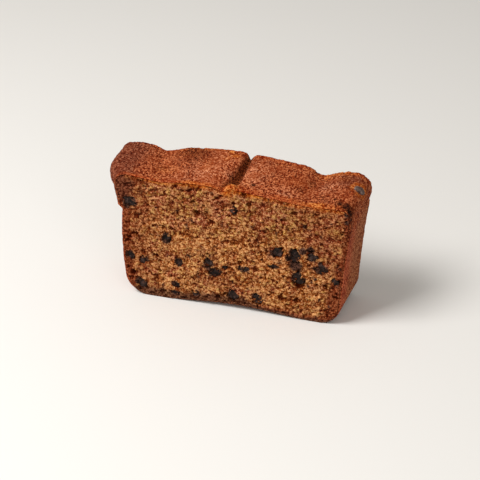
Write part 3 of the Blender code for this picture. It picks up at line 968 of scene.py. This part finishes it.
@dataclass
class Chip(Piece):
    """A baked chip: its own solid, merged, rounded and given the dents that it has."""

    cut: Cut | None = None
    sunk: float = 0.55 * MM
    dent_size: float = 2.0 * MM
    dent_depth: float = 0.42 * MM
    cuts: int = 2
    grain: Grain = Grain(3)

    def build(self) -> bpy.types.Object:
        """Makes the chip from its node's mesh.

        Returns:
            Its object.
        """
        bm = bmesh.new()
        bm.from_mesh(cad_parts[self.replaced[0]].data)
        bmesh.ops.remove_doubles(bm, verts=bm.verts, dist=0.01 * MM)
        bmesh.ops.subdivide_edges(bm, edges=bm.edges, cuts=self.cuts, use_grid_fill=True)
        axes = {f"use_axis_{letter}": True for letter in "xyz"}
        for _ in range(3):
            bmesh.ops.smooth_vert(bm, verts=bm.verts, factor=0.5, **axes)
        bm.normal_update()
        places = np.array([v.co for v in bm.verts])
        normals = np.array([v.normal for v in bm.verts])
        dents = self.grain.rough(places, self.dent_size)
        moved = places + normals * (self.dent_depth * dents)[:, None]
        if self.cut:
            moved[:, 1] -= self.cut.value * self.sunk
        bloom = np.full(len(moved), 0.0 if self.cut else 1.0)
        # Painted shade in the dents and a painted highlight on the bulges, over the chocolate's own
        # colour
        return self.finish_mesh(bm, moved, {"tone": 0.5 + 0.5 * dents, "bloom": bloom})


def linear_colour(code: str) -> tuple[float, float, float, float]:
    """Turns an sRGB hex colour into the linear values that shaders take.

    Args:
        code: Six hex digits after a hash sign.

    Returns:
        Red, green, blue and alpha.
    """
    parts = [int(code[i : i + 2], 16) / 255 for i in (1, 3, 5)]
    return (*(p / 12.92 if p <= 0.04045 else ((p + 0.055) / 1.055) ** 2.4 for p in parts), 1.0)


def new_material(name: str, roughness: float) -> tuple[bpy.types.Material, bpy.types.Node]:
    """Starts a material.

    Args:
        name: Its name.
        roughness: Its roughness.

    Returns:
        The material and its shader node.
    """
    made = bpy.data.materials.new(name)
    made.use_nodes = True
    shader = made.node_tree.nodes["Principled BSDF"]
    shader.inputs["Roughness"].default_value = roughness
    return made, shader


def add_node(
    tree: bpy.types.NodeTree, kind: str, inputs: dict | None = None, **settings: object
) -> bpy.types.Node:
    """Adds a node with its settings and links.

    Args:
        tree: The material's node tree.
        kind: The node's type.
        inputs: For each input socket, by name or place, the socket that feeds it or its value.
        settings: The node's properties. Stops are a colour ramp's places and colours.

    Returns:
        The node.
    """
    node = tree.nodes.new(kind)
    for number, (place, code) in enumerate(settings.pop("stops", ())):
        elements = node.color_ramp.elements
        stop = elements[number] if number < 2 else elements.new(place)
        stop.position, stop.color = place, linear_colour(code)
    for name, value in settings.items():
        setattr(node, name, value)
    for socket, value in (inputs or {}).items():
        if isinstance(value, bpy.types.NodeSocket):
            tree.links.new(value, node.inputs[socket])
        else:
            node.inputs[socket].default_value = value
    return node


@dataclass(frozen=True)
class Coat:
    """One tone of the bake: its colours in the hollows, at the mean and on the crests.

    Its name is that of the vertex values that say where it shows. The first coat lies under the others.
    """

    name: str
    dark: str
    mean: str
    light: str


@dataclass(frozen=True)
class Bake:
    """A baked surface: coats of colour that follow its relief, with a fine grain over them.

    The vertex values named smooth take the relief and the grain out of the colour.
    """

    name: str
    coats: tuple[Coat, ...]
    roughness: float
    specular: float
    fleck_strength: float
    speck_strength: float
    fleck_size: float = 0.55 * MM
    speck_size: float = 1.3 * MM
    bump_height: float = 0.16 * MM
    tones: tuple[float, float, float] = (0.10, 0.50, 0.90)

    def material(self) -> bpy.types.Material:
        """Makes the material."""
        made, shader = new_material(self.name, self.roughness)
        tree = made.node_tree
        shader.inputs["Specular IOR Level"].default_value = self.specular
        place = add_node(tree, "ShaderNodeTexCoord").outputs["Object"]
        # One speck of the grain is speck_size across, so the pattern repeats that many times in a metre
        noise = {"Vector": place, "Scale": 1 / self.speck_size, "Detail": 2.0, "Roughness": 0.6}
        specks = add_node(tree, "ShaderNodeTexNoise", noise).outputs["Fac"]
        cells = {"Vector": place, "Scale": 1 / self.fleck_size}
        flecks = add_node(tree, "ShaderNodeTexVoronoi", cells).outputs["Color"]
        relief = add_node(tree, "ShaderNodeAttribute", attribute_name="tone").outputs["Fac"]
        parts = {0: specks, 1: self.speck_strength, 2: relief}
        speckled = add_node(tree, "ShaderNodeMath", parts, operation="MULTIPLY_ADD").outputs[0]
        parts = {0: flecks, 1: self.fleck_strength, 2: speckled}
        flecked = add_node(tree, "ShaderNodeMath", parts, operation="MULTIPLY_ADD").outputs[0]
        parts = {0: flecked, 1: (self.speck_strength + self.fleck_strength) / 2}
        grainy = add_node(tree, "ShaderNodeMath", parts, operation="SUBTRACT").outputs[0]
        smooth = add_node(tree, "ShaderNodeAttribute", attribute_name="smooth").outputs["Fac"]
        tone = add_node(tree, "ShaderNodeMix", {0: smooth, 2: grainy, 3: 0.5}).outputs[0]
        dark, mean, light = self.tones
        colour = None
        for coat in self.coats:
            stops = ((dark, coat.dark), (light, coat.light), (mean, coat.mean))
            ramp = add_node(tree, "ShaderNodeValToRGB", {"Fac": tone}, stops=stops).outputs["Color"]
            if colour:
                weight = add_node(tree, "ShaderNodeAttribute", attribute_name=coat.name).outputs["Fac"]
                mixed = {0: weight, 6: colour, 7: ramp}
                ramp = add_node(tree, "ShaderNodeMix", mixed, data_type="RGBA").outputs[2]
            colour = ramp
        tree.links.new(colour, shader.inputs["Base Color"])
        height = {"Height": specks, "Distance": self.bump_height, "Strength": 1.0}
        pits = add_node(tree, "ShaderNodeBump", height).outputs["Normal"]
        tree.links.new(pits, shader.inputs["Normal"])
        return made


# Moist banana crumb: tan granules over dark hollows that are partly painted shade, redder by the crust
# and stained by the chocolate
CRUMB_BAKE = Bake(
    "banana_bread_crumb",
    (
        Coat("crumb", "#370d02", "#793917", "#be8757"),
        Coat("rosy", "#3e0e07", "#82351c", "#c78662"),
        Coat("olive", "#361302", "#713c13", "#a67a40"),
        Coat("golden", "#481504", "#9a5420", "#daa26a"),
        Coat("straw", "#3c2206", "#865619", "#cfa45c"),
        Coat("amber", "#681e01", "#97430e", "#c4742c"),
        Coat("rind", "#3a0c02", "#642610", "#945031"),
        Coat("dusk", "#210b05", "#3d2015", "#6d4533"),
        Coat("smear", "#0f0603", "#2c1913", "#5c3d30"),
    ),
    roughness=0.90,
    specular=0.03,
    fleck_strength=0.85,
    speck_strength=1.55,
)

# Crust browned in the tin: dull at the sides, red-brown with paler patches on top, orange where thin
CRUST_BAKE = Bake(
    "browned_crust",
    (
        Coat("side", "#631c0a", "#9a3e1f", "#c36a46"),
        Coat("tan", "#5b210c", "#8f4623", "#b6764e"),
        Coat("crown", "#501001", "#873615", "#c07046"),
        Coat("pale", "#5f1a02", "#9e4c26", "#e09870"),
        Coat("dusk", "#320a03", "#602817", "#905640"),
        Coat("band", "#5d1401", "#8a3110", "#bc683a"),
        # Burnt crust, and painted shade in the crack and the creases
        Coat("burn_and_painted_crease_shade", "#240901", "#541c07", "#86431f"),
        Coat("amber", "#732200", "#ad5118", "#d88a46"),
        Coat("rind", "#3a0e02", "#62260f", "#8c4c2c"),
        Coat("sole", "#2e150b", "#53301f", "#7c4f39"),
        Coat("char", "#0e0401", "#2b0f05", "#562512"),
    ),
    roughness=0.80,
    specular=0.05,
    fleck_strength=1.6,
    speck_size=0.85 * MM,
    speck_strength=0.75,
)

# Dark chocolate after the oven: dull and nearly black, with a grey bloom
CHOCOLATE_BAKE = Bake(
    "baked_dark_chocolate",
    (
        Coat("chip", "#0a0503", "#221510", "#493631"),
        Coat("bloom", "#412a23", "#63524b", "#8b776d"),
    ),
    roughness=0.55,
    specular=0.12,
    fleck_strength=0.5,
    speck_size=1.4 * MM,
    speck_strength=1.5,
    bump_height=0.10 * MM,
)


@dataclass(frozen=True)
class PaleBoard:
    """A plain pale matte board for the slice to stand on."""

    name: str = "pale_matte_board"
    colour: str = "#e4e1dc"
    roughness: float = 0.9

    def material(self) -> bpy.types.Material:
        """Makes the material."""
        made, shader = new_material(self.name, self.roughness)
        shader.inputs["Base Color"].default_value = linear_colour(self.colour)
        return made


@dataclass(frozen=True)
class Lamp:
    """A soft square lamp that looks at the slice."""

    name: str
    azimuth_deg: float
    elevation_deg: float
    distance: float
    size: float
    power: float


@dataclass
class Studio:
    """The floor, the soft light and the camera at the photo's viewing angle."""

    azimuth_deg: float = 16.5
    elevation_deg: float = 31.0
    distance: float = 0.77
    lens: float = 120.0
    target: Vector = field(default_factory=lambda: Vector((-0.0008, 0.0, 0.0298)))
    floor_size: float = 6.0
    world_colour: str = "#f4f1ec"
    world_strength: float = 0.42
    lamps: tuple[Lamp, ...] = (
        Lamp("key", -48.0, 52.0, 1.0, 0.45, 10.0),
        Lamp("fill", 30.0, 30.0, 1.4, 0.9, 3.6),
    )

    def towards(self, azimuth_deg: float, elevation_deg: float) -> Vector:
        """The direction from the slice to a viewer. Azimuth 0 is in front of the front cut."""
        azimuth, elevation = math.radians(azimuth_deg), math.radians(elevation_deg)
        flat = math.cos(elevation)
        return Vector((math.sin(azimuth) * flat, -math.cos(azimuth) * flat, math.sin(elevation)))

    def aim(self, item: bpy.types.Object, way: Vector, distance: float) -> None:
        """Puts a lamp or the camera in place, looking at the slice.

        Args:
            item: The lamp or the camera.
            way: The direction from the slice to it.
            distance: How far out it is.
        """
        bpy.context.scene.collection.objects.link(item)
        item.location = self.target + way * distance
        item.rotation_euler = way.to_track_quat("Z", "Y").to_euler()

    def camera(self) -> None:
        """Makes the camera."""
        data = bpy.data.cameras.new("camera")
        data.lens = self.lens
        item = bpy.data.objects.new("camera", data)
        self.aim(item, self.towards(self.azimuth_deg, self.elevation_deg), self.distance)
        bpy.context.scene.camera = item

    def light(self) -> None:
        """Hangs the lamps."""
        for lamp in self.lamps:
            data = bpy.data.lights.new(lamp.name, "AREA")
            data.size, data.energy = lamp.size, lamp.power
            item = bpy.data.objects.new(lamp.name, data)
            self.aim(item, self.towards(lamp.azimuth_deg, lamp.elevation_deg), lamp.distance)

    def floor(self, finish: bpy.types.Material) -> None:
        """Makes the floor."""
        bm = bmesh.new()
        bmesh.ops.create_grid(bm, x_segments=1, y_segments=1, size=self.floor_size / 2)
        mesh = bpy.data.meshes.new("floor")
        bm.to_mesh(mesh)
        bm.free()
        mesh.materials.append(finish)
        item = bpy.data.objects.new("floor", mesh)
        bpy.context.scene.collection.objects.link(item)

    def world(self) -> None:
        """Makes the even light of a pale room."""
        made = bpy.data.worlds.new("pale_room")
        made.use_nodes = True
        background = made.node_tree.nodes["Background"]
        background.inputs["Color"].default_value = linear_colour(self.world_colour)
        background.inputs["Strength"].default_value = self.world_strength
        bpy.context.scene.world = made


def chip_nodes(cut: Cut) -> list[str]:
    """The nodes of the chips that show on a cut face."""
    label = "chip_" + cut.name.lower()
    return sorted(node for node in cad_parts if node.startswith(label))


def main() -> None:
    """Builds the slice and its setting."""
    bpy.context.scene.view_settings.view_transform = "Standard"
    form = SliceForm()
    sockets = [Socket.from_node(node, cut) for cut in Cut for node in chip_nodes(cut)]
    crumb = Crumb("crumb", ("slice",), "bread", form, sockets).build()
    crumb.data.materials.append(CRUMB_BAKE.material())

    low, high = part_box("chip_shoulder")
    crust = Crust("crust", ("slice",), "bread", form, (low + high) / 2).build()
    crust.data.materials.append(CRUST_BAKE.material())

    chocolate = CHOCOLATE_BAKE.material()
    for cut in (*Cut, None):
        for node in chip_nodes(cut) if cut else ["chip_shoulder"]:
            chip = Chip(node.replace("chip", "baked_chip"), (node,), "chocolate", cut).build()
            chip.data.materials.append(chocolate)

    studio = Studio()
    studio.camera()
    studio.world()
    studio.floor(PaleBoard().material())
    studio.light()


if __name__ == "__main__":
    logging.basicConfig(level=logging.INFO)
    main()
